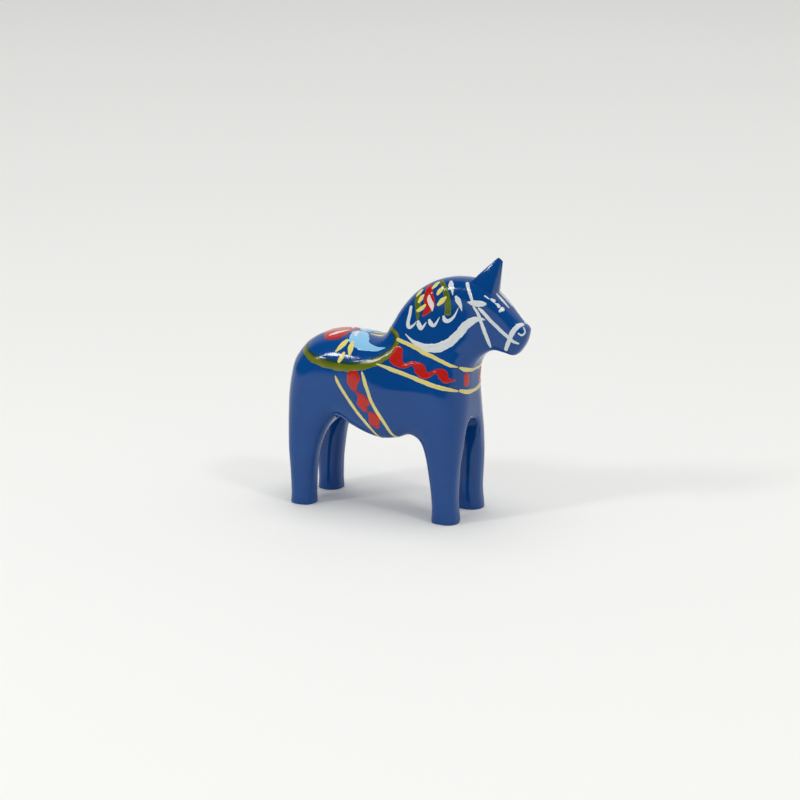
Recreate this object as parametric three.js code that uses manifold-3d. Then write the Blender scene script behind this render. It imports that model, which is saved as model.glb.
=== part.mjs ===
// Painted wooden dala horse, about seven centimetres tall.
// Millimetres, +Z up, nose towards +X, soles on Z = 0, mirror plane Y = 0.
import * as THREE from 'three';
import { MarchingCubes } from 'three/addons/objects/MarchingCubes.js';
import { ConvexGeometry } from 'three/addons/geometries/ConvexGeometry.js';
import { mergeVertices } from 'three/addons/utils/BufferGeometryUtils.js';
import Module from 'manifold-3d';

const wasm = await Module();
wasm.setup();

// ---- driving dimensions (mm) ----
const TORSO_HALF = 10.9;        // half the thickness of the plank the horse is cut from
const SOLE_HALF = 11.1;         // outer face of a leg at the floor, from the mirror plane
const POLL_HALF = 4.9;          // half thickness at the top of the neck
const CHEEK_HALF = 4.9;         // half thickness of the head at the jaw
const MUZZLE_HALF = 3.4;        // half thickness at the nose
const LEG_GAP_HALF = 4.2;       // half the saw cut between left and right legs
const GAP_TOP_BELLY = 20.5;     // height of that cut under the belly
const GAP_TOP_CHEST = 26.2;     // and where it comes out at the chest and the rump
const GAP_ARCH = 5.5;           // height over which the cut closes to its top
const LEG_ROUND = 3.0;          // rounding of the legs along the cut
const ARCH_ROUND = 0.6;         // rounding of its arched edge
const CELL = 1.9;               // spacing of the surface points
const FILM_GAP = 0.08;          // paint films keep this far off the wood
const FILM_TOP = 0.26;          // and stand this proud of it
const FILM_APART = 0.15;        // bare line left where one stroke runs over another
const TRUE_TO = 0.02;           // flat runs of facets are merged within this
const CENTRE_X = 6.74;          // middle of the length, from the middle of the leg spacing

// The sawn side outline, from the hind heel over the back to the nose and down to the hooves.
const OUTLINE = [
  [-24.2, -4], [-24.3, 3], [-24.6, 9], [-25.2, 16], [-25.9, 23], [-26.4, 29], [-26.2, 34], [-25.2, 38.4],
  [-22.8, 42], [-19.6, 44.6], [-16, 45.9], [-11, 46.5], [-6, 46.2], [-2, 46.0], [0.4, 46.9], [2.5, 50.0],
  [4.8, 53.9], [8.2, 58.0], [12.4, 61.1], [17, 62.8], [21.5, 63.4], [26, 63.0], [29.8, 61.0], [32.4, 59.0],
  [35.0, 56.4], [37.8, 53.4], [39.8, 51.6], [39.6, 49.0], [38.3, 46.3], [36.5, 44.5], [33.4, 44.9],
  [30.4, 45.2], [27.6, 43.6], [25.4, 40.4], [24.7, 36], [24.6, 29], [24.4, 22], [24.0, 14], [23.6, 6],
  [23.5, -4], [17.3, -4], [17.0, 4], [16.3, 10], [15.0, 16.6], [12.8, 20.8], [9.8, 21.9], [6.4, 20.8],
  [2.4, 20.2], [-2.1, 20.9], [-7.2, 22.7], [-11.2, 24.2], [-14.2, 21.6], [-16.3, 16.6], [-17.5, 10],
  [-17.9, 3], [-18.1, -4],
];

const corners = (pos) => Array.from(
  { length: pos.count }, (_, i) => new THREE.Vector3().fromBufferAttribute(pos, i));

const outline = new THREE.CatmullRomCurve3(
  OUTLINE.map(([x, z]) => new THREE.Vector3(x, 0, z)), true, 'centripetal').getPoints(165);

const clamp01 = (v) => THREE.MathUtils.clamp(v, 0, 1);
const ease = THREE.MathUtils.smoothstep;
const mix = THREE.MathUtils.lerp;

// Distance from (x, z) to the outline, positive inside it.
function insideOutline(x, z) {
  let best = Infinity;
  let inside = false;
  for (let i = 0, j = outline.length - 1; i < outline.length; j = i++) {
    const a = outline[j];
    const b = outline[i];
    const ex = b.x - a.x;
    const ez = b.z - a.z;
    const t = clamp01(((x - a.x) * ex + (z - a.z) * ez) / (ex * ex + ez * ez + 1e-12));
    best = Math.min(best, Math.hypot(x - a.x - t * ex, z - a.z - t * ez));
    if ((a.z > z) !== (b.z > z) && x < a.x + ((z - a.z) / ez) * ex) inside = !inside;
  }
  return inside ? best : -best;
}

// Half thickness of the blank at (x, z) and how softly its edges are whittled round.
function blank(x, z) {
  const leg = 1 - ease(z, 13, 27);
  const belly = 1 - ease(z, 21, 36);
  const neck = ease(z, 33, 61) * ease(x, -4, 8);
  const flank = 0.011 * Math.max(z - 31, 0) ** 2;
  const along = ease(x * 0.72 - z * 0.69, -20, -7.5);
  const head = ease(x, 22, 31) * ease(z, 40, 47);
  let half = mix(TORSO_HALF - Math.min(flank, 2.2), SOLE_HALF, 1 - ease(z, 0, 20));
  half = mix(half, POLL_HALF, neck);
  half = mix(half, mix(CHEEK_HALF, MUZZLE_HALF, along), head);
  const across = mix(mix(half * mix(0.86, 0.55, belly), 3.0, leg), half * 0.92, Math.max(neck, head));
  const edge = mix(mix(mix(mix(7.5, 5.0, belly), 5.5, neck), 3.0, leg), 3.6, head);
  return { half, across, edge };
}

// The whittled solid: positive inside, roughly in millimetres near the surface.
function wood(x, y, z) {
  const { half, across, edge } = blank(x, z);
  const u = Math.max(1 - insideOutline(x, z) / edge, 0);
  const v = Math.max(1 - (half - Math.abs(y)) / across, 0);
  const body = (1 - (u ** 2.2 + v ** 2.2) ** (1 / 2.2)) * Math.min(edge, across);
  const top = mix(GAP_TOP_BELLY, GAP_TOP_CHEST, Math.max(ease(x, 11, 20), ease(-x, 8, 20)));
  const rise = Math.max(z - (top - GAP_ARCH), 0) / GAP_ARCH;
  const cut = LEG_GAP_HALF * (((Math.abs(y) / LEG_GAP_HALF) ** 2.6 + rise ** 2.6) ** (1 / 2.6) - 1);
  const round = mix(LEG_ROUND, ARCH_ROUND, ease(z, 14, 24));
  const a = Math.max(round - body, 0);
  const b = Math.max(round - cut, 0);
  return a > 0 && b > 0 ? round - Math.hypot(a, b) : Math.min(body, cut);
}

function slope(p) {
  const h = 0.05;
  return new THREE.Vector3(
    wood(p.x + h, p.y, p.z) - wood(p.x - h, p.y, p.z),
    wood(p.x, p.y + h, p.z) - wood(p.x, p.y - h, p.z),
    wood(p.x, p.y, p.z + h) - wood(p.x, p.y, p.z - h)).divideScalar(2 * h);
}

// Polygonised blank as an indexed geometry whose points all lie on the whittled surface.
function whittledBlank() {
  const span = 76;
  const size = Math.round(span / CELL);
  const centre = new THREE.Vector3(6.3, 0, 30);
  const grid = new MarchingCubes(size, new THREE.MeshBasicMaterial(), false, false, 40000);
  grid.isolation = 0;
  const at = (i) => ((i - grid.halfsize) / grid.halfsize) * (span / 2);
  for (let k = 0; k < size; k++) {
    for (let j = 0; j < size; j++) {
      for (let i = 0; i < size; i++) {
        const y = at(j) + 0.013;
        const far = Math.abs(y) > 14;
        grid.field[i + j * size + k * size * size] =
          far ? -1 : wood(at(i) + centre.x, y, at(k) + centre.z) + 1e-4;
      }
    }
  }
  grid.update();
  const raw = new THREE.BufferGeometry();
  const soup = new Float32Array(grid.positionArray.slice(0, grid.count * 3));
  raw.setAttribute('position', new THREE.BufferAttribute(soup, 3));
  raw.scale(span / 2, span / 2, span / 2).translate(centre.x, 0.013, centre.z);
  const geometry = mergeVertices(raw, 1e-3);
  settle(geometry);
  return geometry;
}

// Evens out the points along the surface, then drops each one back onto it.
function settle(geometry) {
  const pos = geometry.getAttribute('position');
  const index = geometry.getIndex();
  const points = corners(pos);
  const near = points.map(() => new Set());
  for (let i = 0; i < index.count; i += 3) {
    const [a, b, c] = [index.getX(i), index.getX(i + 1), index.getX(i + 2)];
    near[a].add(b).add(c);
    near[b].add(a).add(c);
    near[c].add(a).add(b);
  }
  for (let round = 0; round < 4; round++) {
    const moved = points.map((p, i) => {
      const mean = new THREE.Vector3();
      for (const j of near[i]) mean.add(points[j]);
      mean.divideScalar(near[i].size).sub(p);
      const n = slope(p).normalize();
      return p.clone().addScaledVector(mean.addScaledVector(n, -mean.dot(n)), 0.5);
    });
    moved.forEach((p, i) => points[i].copy(drop(p)));
  }
  points.forEach((p, i) => pos.setXYZ(i, p.x, p.y, p.z));
}

function drop(p) {
  for (let step = 0; step < 4; step++) {
    const g = slope(p);
    const pull = THREE.MathUtils.clamp(wood(p.x, p.y, p.z) / Math.max(g.lengthSq(), 0.2), -0.6, 0.6);
    p.addScaledVector(g, -pull);
  }
  return p;
}

// ---- joining and cutting ----
function solid(geometry) {
  const g = mergeVertices(new THREE.BufferGeometry()
    .setAttribute('position', geometry.getAttribute('position')).setIndex(geometry.getIndex()), 1e-4);
  return new wasm.Manifold(new wasm.Mesh({
    numProp: 3,
    vertProperties: new Float32Array(g.getAttribute('position').array),
    triVerts: new Uint32Array(g.getIndex().array),
  }));
}

function part(name, manifold, material) {
  const { vertProperties, triVerts } = manifold.getMesh();
  const geometry = new THREE.BufferGeometry();
  geometry.setAttribute('position', new THREE.BufferAttribute(new Float32Array(vertProperties), 3));
  geometry.setIndex(new THREE.BufferAttribute(new Uint32Array(triVerts), 1));
  geometry.computeVertexNormals();
  const mesh = new THREE.Mesh(geometry, material.clone());
  mesh.name = name;
  return mesh;
}

const paint = (hex, roughness) => new THREE.MeshStandardMaterial({ color: hex, roughness, metalness: 0 });

// ---- ears: two chiselled wedges with a notch between them ----
function ear(side) {
  const tips = [
    [23.6, 3.2, 60.5], [24.5, 2.8, 62.6], [24.6, -0.2, 60.8], [25.2, 0.2, 63.1], [26.9, 1.95, 65.1],
    [29.5, 1.55, 66.8], [31.6, 1.15, 67.7], [31.1, 0.4, 69.2], [32.1, 0.75, 68.2], [32.1, 0.35, 68.2],
    [30, 1.7, 61.2], [30.3, 0.4, 61.2], [29.3, 3, 59.8], [29.8, -0.2, 60.2], [28, 3.4, 59.8],
  ];
  return solid(new ConvexGeometry(tips.map(([x, y, z]) => new THREE.Vector3(x, side * y, z))));
}

// ---- paint ----
// A stroke is a row of brush positions [x, y, z, half width] on the right flank. Each position is
// dropped onto the wood and becomes a disc square to it; discs are joined in pairs.
const WHITE = 0xdfe3e2;
const YELLOW = 0xe2d47c;
const RED = 0xb8180f;
const GREEN = 0x5f7310;
const SKY = 0x8fc6ea;

const STROKES = [
  ['mane_leaf_rear', GREEN, [[10.5, -3.6, 58.3, 0.7], [10.6, -4.6, 57, 1], [11, -5.6, 55.2, 0.8],
    [11.3, -6.4, 52.8, 0.4]]],
  ['mane_leaf_front', GREEN, [[16.4, -2.3, 62.1, 0.6], [18.2, -4.2, 60.7, 0.8], [19.3, -5.2, 58, 0.9],
    [19.6, -5.8, 54.6, 0.9]]],
  ['mane_petal', RED, [[13, -2.3, 60.9, 0.4], [13.5, -3.8, 59.8, 1.1], [14.1, -4.9, 57.8, 1.6],
    [14.3, -5.5, 56, 1.3], [13.5, -5.9, 54.5, 0.8], [12.8, -6.2, 53.6, 0.3]]],
  ['mane_sweep', WHITE, [[8.4, -7.8, 48.4, 0.2], [9.8, -8.3, 47.5, 0.3], [11.9, -8.6, 46.6, 0.6],
    [14.9, -8.8, 45.9, 1], [17.9, -8.7, 46.3, 1.2], [20.7, -8.2, 47.8, 1.2], [23.1, -7.2, 50, 1.2],
    [25, -6.1, 52.2, 1.1], [26.7, -5.4, 53.5, 0.9], [28.2, -4.9, 53.9, 0.6]]],
  ['bridle_crown', WHITE, [[23.8, -3, 62.3, 0.4], [25, -4.3, 60.8, 0.5], [26, -4.9, 59, 0.4]]],
  ['bridle_cheek', WHITE, [[26.8, -5.1, 56.6, 0.3], [27.9, -5.1, 55.1, 0.4], [28.6, -4.9, 53.2, 0.5],
    [29.5, -4.3, 50.4, 0.5], [30.3, -3.5, 47.4, 0.4]]],
  ['bridle_nose', WHITE, [[38.2, -1.3, 52.9, 0.5], [37.8, -2.3, 52.5, 0.6], [37, -3.1, 51.6, 0.6],
    [36.3, -3.4, 50.2, 0.6], [35.9, -3.4, 49.4, 0.5], [35.5, -3.4, 48.4, 0.6], [34.9, -2.9, 46.8, 0.5]]],
  ['bridle_rein', WHITE, [[28.3, -5, 56.5, 0.3], [29, -4.9, 55.8, 0.5], [31.1, -4.3, 53.6, 0.5],
    [33.4, -3.7, 51.4, 0.5], [35, -3.4, 50, 0.5]]],
  ['bridle_rosette', WHITE, [[26, -5, 57.9, 0.6], [27.5, -5, 57.9, 0.8], [28.8, -4.8, 57.9, 0.7],
    [29.5, -4.7, 57.9, 0.4]]],
  ['bridle_brow', WHITE, [[30.8, -0.9, 60.2, 0.2], [32, -1.2, 59.2, 0.5], [33.3, -1.3, 58, 0.5],
    [34.4, -1.2, 56.9, 0.2]]],
  ['saddle_comma', SKY, [[-6.6, -2.9, 46, 1.9], [-5.4, -5.4, 45.6, 2.3], [-3.6, -6.8, 44.9, 2],
    [-1.4, -7.6, 44.5, 1.2], [1.2, -8.2, 44.6, 0.7], [3, -8.5, 45.1, 0.3]]],
  ['saddle_leaf_front', YELLOW, [[-6.6, -6.9, 45.1, 0.3], [-6.6, -8.2, 44.3, 0.7],
    [-6.3, -9.5, 43.1, 0.6], [-6, -10.3, 41.6, 0.2]]],
  ['saddle_leaf_middle', YELLOW, [[-8.4, -7.1, 45.3, 0.4], [-8.9, -8, 44.6, 0.7], [-9.5, -9, 43.8, 0.6],
    [-10.3, -9.9, 42.7, 0.3]]],
  ['saddle_leaf_rear', YELLOW, [[-8, -10, 42.5, 0.4], [-8.3, -10.4, 41.5, 0.7], [-9, -10.8, 39.9, 0.4]]],
  ['collar_upper', YELLOW, [[6, -8.2, 47.2, 0.5], [9.1, -8.7, 46.3, 0.5], [13.6, -9.1, 45, 0.6],
    [18, -9.5, 43.7, 0.5], [22, -9.2, 42.1, 0.5], [23.6, -7.8, 41.3, 0.2]]],
  ['collar_lower', YELLOW, [[1.3, -10.5, 40.9, 0.2], [5.8, -10.6, 39.8, 0.6], [10.1, -10.7, 38.8, 0.5],
    [14.4, -10.8, 37.6, 0.6], [18.6, -10.8, 36.6, 0.6], [22, -9.1, 35.7, 0.5], [23.3, -7.6, 35.2, 0.3]]],
  ['collar_wave', RED, [[6.5, -9.3, 44.5, 1.5], [6.5, -9.8, 43, 1.8], [7.8, -10.2, 41.5, 1.1],
    [9.3, -10.2, 41.2, 0.7], [10.9, -10, 42, 0.6], [12.4, -10.1, 41.6, 1], [13.6, -10.3, 40.7, 1.5],
    [14.9, -10.6, 39.5, 1.2], [16.3, -10.6, 39.5, 0.7], [17.6, -10.4, 40.4, 0.6],
    [19.2, -10.2, 40.5, 0.9], [20.3, -10.1, 39.7, 1.3], [21.2, -9.7, 38.4, 1], [22.2, -8.9, 38.1, 0.5],
    [23, -8, 38, 0.2]]],
  ['chest_dab', RED, [[24.7, -4.4, 38.3, 1.1], [24.5, -4.1, 36.9, 1.2]]],
  ['girth_rear', YELLOW, [[-10.1, -10.9, 36.3, 0.2], [-9.4, -10.9, 34.8, 0.5], [-7.4, -10.9, 32, 0.5],
    [-3.7, -10.9, 27.4, 0.5], [-1.7, -10.8, 25.2, 0.4], [0.2, -10.5, 23.2, 0.4], [1.4, -9.8, 21.9, 0.3]]],
  ['girth_front', YELLOW, [[-2.4, -10.9, 38, 0.3], [-1.7, -10.9, 36.1, 0.5], [-0.7, -10.9, 33.6, 0.5],
    [0.7, -10.9, 30.3, 0.5], [2.7, -10.9, 27.3, 0.5], [4.4, -10.9, 25.1, 0.5], [5.8, -10, 22.6, 0.4]]],
  ['girth_dabs', RED, [[-4.9, -10.9, 36.4, 1.9], [-4.9, -10.9, 35.2, 1.7], [-4.4, -10.9, 33.2, 0.6],
    [-3.4, -10.9, 32.4, 0.4], [-2.5, -10.9, 31.4, 0.9], [-1.9, -10.9, 30, 1.5], [-1.5, -10.9, 28.6, 0.7],
    [-0.5, -10.9, 27.9, 0.3], [0.4, -10.9, 27, 0.6], [1.3, -10.9, 25.8, 1.4], [2, -10.8, 24.3, 0.7]]],
];

// Carries a row that ends on the mirror plane back down the left flank.
const across = (row) => [...row, ...row.slice(0, -1).reverse().map(([x, y, z, r]) => [x, -y, z, r])];

// Strokes that cross the mirror plane: the right half of each, ending on the plane.
const CROSSING = [
  ['saddle_flower', RED, [[-12.3, -6, 45.4, 1.4], [-12.5, -4.6, 46, 2.6], [-12.9, -2, 46.4, 3.6],
    [-13, 0, 46.5, 3.8]]],
  ['collar_upper_front', YELLOW, [[24.2, -7, 41, 0.3], [24.8, -5.2, 40.4, 0.6], [25.1, -2.4, 39.9, 0.5],
    [25.2, 0, 39.8, 0.5]]],
  ['collar_lower_front', YELLOW, [[23.8, -6.5, 35.1, 0.4], [24.5, -3.9, 34.3, 0.6], [24.6, 0, 33.9, 0.5]]],
  ['saddle_border', GREEN, [[1.4, 0, 47.3, 0.5], [3.3, -4.5, 48.4, 0.6], [5.4, -7.4, 48, 0.8],
    [5.6, -8.7, 46.2, 0.9], [4.6, -9.3, 44.4, 1], [2.8, -9.9, 42.8, 1.1], [0.5, -10.4, 41.3, 1.1],
    [-2.8, -10.8, 39.9, 1.2], [-7.1, -10.9, 38.9, 1.2], [-11.5, -10.9, 39, 1.2], [-15, -10.8, 39.5, 1.1],
    [-17.9, -10.3, 40.2, 1], [-20.1, -9, 41, 0.9], [-21.8, -6.4, 41.6, 0.8], [-21.6, -3.5, 43, 0.7],
    [-21, 0, 43.8, 0.7]]],
];

function disc([x, y, z, r], side, grow) {
  const p = drop(new THREE.Vector3(x, side * y, z));
  const n = slope(p).normalize();
  const upright = new THREE.Vector3(0.3, 0.2, 1);
  const frame = new THREE.Matrix4().lookAt(new THREE.Vector3(), n, upright).setPosition(p);
  const ring = new THREE.CylinderGeometry(r + grow, r + grow, 2.2, 8).rotateX(Math.PI / 2);
  return corners(ring.applyMatrix4(frame).getAttribute('position'));
}

function brush(row, side, grow = 0) {
  const discs = row.map((spot) => disc(spot, side, grow));
  const links = discs.slice(1).map((next, i) => solid(new ConvexGeometry([...discs[i], ...next])));
  return wasm.Manifold.union(links);
}

// The wood's own surface pushed out by a given distance.
function coat(geometry, thickness) {
  const pushed = geometry.clone();
  const pos = pushed.getAttribute('position');
  for (let i = 0; i < pos.count; i++) {
    const p = new THREE.Vector3().fromBufferAttribute(pos, i);
    p.addScaledVector(slope(p).normalize(), -thickness);
    pos.setXYZ(i, p.x, p.y, p.z);
  }
  return solid(pushed);
}

const blankGeometry = whittledBlank();
const floorCut = solid(new THREE.BoxGeometry(200, 200, 40).translate(0, 0, -20));
const carved = solid(blankGeometry).add(ear(-1)).add(ear(1)).subtract(floorCut).simplify(TRUE_TO);
const under = coat(blankGeometry, FILM_GAP);
const over = coat(blankGeometry, FILM_TOP);

const films = [];
for (const [name, hex, row] of STROKES) {
  films.push({ name: `${name}_right`, hex, row, side: 1 }, { name: `${name}_left`, hex, row, side: -1 });
}
for (const [name, hex, row] of CROSSING) films.push({ name, hex, row: across(row), side: 1 });

const group = new THREE.Group();
const place = (mesh) => {
  mesh.geometry.translate(-CENTRE_X, 0, 0);
  group.add(mesh);
};

place(part('carved_horse', carved, paint(0x0a3a78, 0.3)));
films.forEach(({ name, hex, row, side }, i) => {
  let film = brush(row, side).intersect(over).subtract(under);
  for (const later of films.slice(i + 1)) film = film.subtract(brush(later.row, later.side, FILM_APART));
  const pieces = film.decompose().sort((a, b) => b.volume() - a.volume());
  place(part(name, pieces[0].simplify(2 * TRUE_TO), paint(hex, 0.3)));
});
export default group;
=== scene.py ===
"""A small painted wooden dala horse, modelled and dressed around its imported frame."""

import logging
import math
from dataclasses import dataclass, field
from enum import Enum

import bpy
import numpy as np
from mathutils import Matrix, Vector


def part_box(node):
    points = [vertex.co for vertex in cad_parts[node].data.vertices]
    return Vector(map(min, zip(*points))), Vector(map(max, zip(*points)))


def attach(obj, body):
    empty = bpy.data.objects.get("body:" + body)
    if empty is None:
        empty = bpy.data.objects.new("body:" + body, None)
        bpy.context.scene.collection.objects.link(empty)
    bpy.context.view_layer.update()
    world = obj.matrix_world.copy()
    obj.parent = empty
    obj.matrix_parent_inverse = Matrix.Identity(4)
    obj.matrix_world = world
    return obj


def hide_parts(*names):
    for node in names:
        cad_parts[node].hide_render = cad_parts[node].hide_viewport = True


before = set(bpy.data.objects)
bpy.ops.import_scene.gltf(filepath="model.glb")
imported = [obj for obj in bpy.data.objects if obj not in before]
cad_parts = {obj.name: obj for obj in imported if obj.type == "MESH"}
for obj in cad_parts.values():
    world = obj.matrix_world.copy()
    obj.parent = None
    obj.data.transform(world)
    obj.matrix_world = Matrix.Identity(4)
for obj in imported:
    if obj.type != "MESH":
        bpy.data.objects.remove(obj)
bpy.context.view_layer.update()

LOG = logging.getLogger("dala_horse")
MM = 0.001

Row = tuple[float, float, float, float]


# --------------------------------------------------------------------------- the whittled form


def ease(value: np.ndarray, low: float, high: float) -> np.ndarray:
    """Smooth step of value from 0 at low to 1 at high.

    Args:
        value: numbers to ease.
        low: where the step starts.
        high: where it ends.

    Returns:
        Numbers from 0 to 1.
    """
    t = np.clip((value - low) / (high - low), 0.0, 1.0)
    return t * t * (3.0 - 2.0 * t)


def mix(a: np.ndarray, b: np.ndarray, t: np.ndarray) -> np.ndarray:
    """Blend from a to b by t."""
    return a + (b - a) * t


@dataclass
class WhittledForm:
    """The wood as a field in millimetres, positive inside, measured from between the legs."""

    torso_half: float = 10.9
    sole_half: float = 11.1
    poll_half: float = 4.9
    cheek_half: float = 4.9
    muzzle_half: float = 3.4
    gap_half: float = 4.2
    gap_low: float = 20.5
    gap_high: float = 26.2
    gap_arch: float = 5.5
    leg_round: float = 3.0
    arch_round: float = 0.5
    hoof_round: float = 0.3
    roundness: float = 2.2
    knife_wave: float = 0.04
    step: float = 0.2
    outline: tuple[tuple[float, float], ...] = (
        (-24.2, -4), (-24.3, 3), (-24.6, 9), (-25.2, 16), (-25.9, 23), (-26.4, 29), (-26.2, 34),
        (-25.2, 38.4), (-22.8, 42), (-19.6, 44.6), (-16, 45.9), (-11, 46.5), (-6, 46.2), (-2, 46.0),
        (0.4, 46.9), (2.5, 50.0), (4.8, 53.9), (8.2, 58.0), (12.4, 61.1), (17, 62.8), (21.5, 63.4),
        (26, 63.0), (29.8, 61.0), (32.4, 59.0), (35.0, 56.4), (37.8, 53.4), (39.8, 51.6), (39.6, 49.0),
        (38.3, 46.3), (36.5, 44.5), (33.4, 44.9), (30.4, 45.2), (27.6, 43.6), (25.4, 40.4), (24.7, 36),
        (24.6, 29), (24.4, 22), (24.0, 14), (23.6, 6), (23.5, -4), (17.3, -4), (17.0, 4), (16.3, 10),
        (15.0, 16.6), (12.8, 20.8), (9.8, 21.9), (6.4, 20.8), (2.4, 20.2), (-2.1, 20.9), (-7.2, 22.7),
        (-11.2, 24.2), (-14.2, 21.6), (-16.3, 16.6), (-17.5, 10), (-17.9, 3), (-18.1, -4),
    )
    low: tuple[float, float] = (-31.0, -7.0)
    high: tuple[float, float] = (45.0, 68.0)
    _grid: np.ndarray = field(init=False, repr=False)

    def __post_init__(self) -> None:
        """Measure the distance to the side outline once, on a grid."""
        xs = np.arange(self.low[0], self.high[0] + self.step, self.step)
        zs = np.arange(self.low[1], self.high[1] + self.step, self.step)
        x, z = np.meshgrid(xs, zs, indexing="ij")
        self._grid = self._inside(x.ravel(), z.ravel()).reshape(x.shape)

    def curve(self) -> np.ndarray:
        """Closed centripetal curve through the outline points.

        Returns:
            Array of (x, z) points.
        """
        pts = np.array(self.outline)
        out = []
        for i in range(len(pts)):
            p = [pts[(i + k - 1) % len(pts)] for k in range(4)]
            d = [max(np.linalg.norm(p[k + 1] - p[k]) ** 0.5, 1e-4) for k in range(3)]
            m1 = ((p[1] - p[0]) / d[0] - (p[2] - p[0]) / (d[0] + d[1]) + (p[2] - p[1]) / d[1]) * d[1]
            m2 = ((p[2] - p[1]) / d[1] - (p[3] - p[1]) / (d[1] + d[2]) + (p[3] - p[2]) / d[2]) * d[1]
            for t in (0.0, 0.25, 0.5, 0.75):
                a = 2 * p[1] - 2 * p[2] + m1 + m2
                b = -3 * p[1] + 3 * p[2] - 2 * m1 - m2
                out.append(((a * t + b) * t + m1) * t + p[1])
        return np.array(out)

    def _inside(self, x: np.ndarray, z: np.ndarray) -> np.ndarray:
        """Distance to the outline, positive inside.

        Args:
            x: positions along the horse.
            z: heights.

        Returns:
            Signed distances in millimetres.
        """
        line = self.curve()
        best = np.full(x.shape, 1e9)
        inside = np.zeros(x.shape, bool)
        for a, b in zip(np.roll(line, 1, axis=0), line):
            e = b - a
            t = np.clip(((x - a[0]) * e[0] + (z - a[1]) * e[1]) / (e @ e + 1e-12), 0, 1)
            best = np.minimum(best, np.hypot(x - a[0] - t * e[0], z - a[1] - t * e[1]))
            if a[1] != b[1]:
                crosses = (a[1] > z) != (b[1] > z)
                inside ^= crosses & (x < a[0] + (z - a[1]) / e[1] * e[0])
        return np.where(inside, best, -best)

    def depth(self, x: np.ndarray, z: np.ndarray) -> np.ndarray:
        """Interpolated distance inside the outline at (x, z)."""
        u = np.clip((x - self.low[0]) / self.step, 0, self._grid.shape[0] - 1.001)
        v = np.clip((z - self.low[1]) / self.step, 0, self._grid.shape[1] - 1.001)
        i, j = u.astype(int), v.astype(int)
        s, t = u - i, v - j
        g = self._grid
        return mix(mix(g[i, j], g[i + 1, j], s), mix(g[i, j + 1], g[i + 1, j + 1], s), t)

    def field(self, p: np.ndarray) -> np.ndarray:
        """How far inside the wood each point is, near its surface.

        Args:
            p: points, one a row, in millimetres.

        Returns:
            One value a point, zero on the surface.
        """
        x, y, z = p.T
        leg = 1 - ease(z, 13, 27)
        belly = 1 - ease(z, 21, 36)
        neck = ease(z, 33, 61) * ease(x, -4, 8)
        along = ease(x * 0.72 - z * 0.69, -20, -7.5)
        head = ease(x, 22, 31) * ease(z, 40, 47)
        flank = np.minimum(0.011 * np.maximum(z - 31, 0) ** 2, 2.2)
        half = mix(self.torso_half - flank, self.sole_half, 1 - ease(z, 0, 20))
        half = mix(half, self.poll_half, neck)
        half = mix(half, mix(self.cheek_half, self.muzzle_half, along), head)
        across = mix(mix(half * mix(0.86, 0.55, belly), 3.0, leg), half * 0.92, np.maximum(neck, head))
        edge = mix(mix(mix(mix(7.5, 5.0, belly), 5.5, neck), 3.0, leg), 3.6, head)
        u = np.maximum(1 - self.depth(x, z) / edge, 0)
        v = np.maximum(1 - (half - np.abs(y)) / across, 0)
        n = self.roundness
        body = (1 - (u**n + v**n) ** (1 / n)) * np.minimum(edge, across)
        top = mix(self.gap_low, self.gap_high, np.maximum(ease(x, 11, 20), ease(-x, 8, 20)))
        rise = np.maximum(z - (top - self.gap_arch), 0) / self.gap_arch
        cut = self.gap_half * (((np.abs(y) / self.gap_half) ** 2.6 + rise**2.6) ** (1 / 2.6) - 1)
        split = self._round_join(body, cut, mix(self.leg_round, self.arch_round, ease(z, 14, 24)))
        return self._round_join(split + self.knife_wave * self._waves(p), z, self.hoof_round)

    @staticmethod
    def _round_join(first: np.ndarray, second: np.ndarray, radius: float | np.ndarray) -> np.ndarray:
        """Common part of two fields, its edge rounded.

        Args:
            first: one field, positive inside.
            second: the other.
            radius: how round the edge is.

        Returns:
            The joined field.
        """
        a, b = np.maximum(radius - first, 0), np.maximum(radius - second, 0)
        return np.where((a > 0) & (b > 0), radius - np.hypot(a, b), np.minimum(first, second))

    @staticmethod
    def _waves(p: np.ndarray) -> np.ndarray:
        """Slow unevenness left by the knife, from -1 to 1."""
        x, y, z = p.T
        return (np.sin(0.35 * x + 0.21 * z + 0.4) + np.sin(0.27 * z - 0.26 * x + 1.9 + 0.2 * y)
                + 0.5 * np.sin(0.63 * x + 0.15 * y) * np.sin(0.48 * z + 0.7)) / 2.5

    def slope(self, p: np.ndarray) -> np.ndarray:
        """Gradient of the field, pointing into the wood."""
        h = 0.06
        cols = []
        for k in range(3):
            d = np.zeros(3)
            d[k] = h
            cols.append((self.field(p + d) - self.field(p - d)) / (2 * h))
        return np.stack(cols, -1)

    def outward(self, p: np.ndarray) -> np.ndarray:
        """Unit normals of the surface, pointing out."""
        g = self.slope(p)
        return -g / np.maximum(np.linalg.norm(g, axis=1, keepdims=True), 1e-9)

    def drop(self, p: np.ndarray, rounds: int = 4) -> np.ndarray:
        """Move points onto the surface along its slope.

        Args:
            p: points in millimetres.
            rounds: how many steps to take.

        Returns:
            The moved points.
        """
        p = p.copy()
        for _ in range(rounds):
            g = self.slope(p)
            pull = np.clip(self.field(p) / np.maximum((g * g).sum(1), 0.2), -0.6, 0.6)
            p -= g * pull[:, None]
        return p


@dataclass(frozen=True)
class Placing:
    """Turns drawing millimetres, measured from between the legs, into frame metres and back."""

    middle_x: float

    def to_frame(self, p: np.ndarray) -> np.ndarray:
        """Drawing millimetres to frame metres."""
        return (p - np.array([self.middle_x, 0, 0])) * MM

    def to_drawing(self, p: np.ndarray) -> np.ndarray:
        """Frame metres to drawing millimetres."""
        return p / MM + np.array([self.middle_x, 0, 0])


# --------------------------------------------------------------------------- finishes


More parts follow.
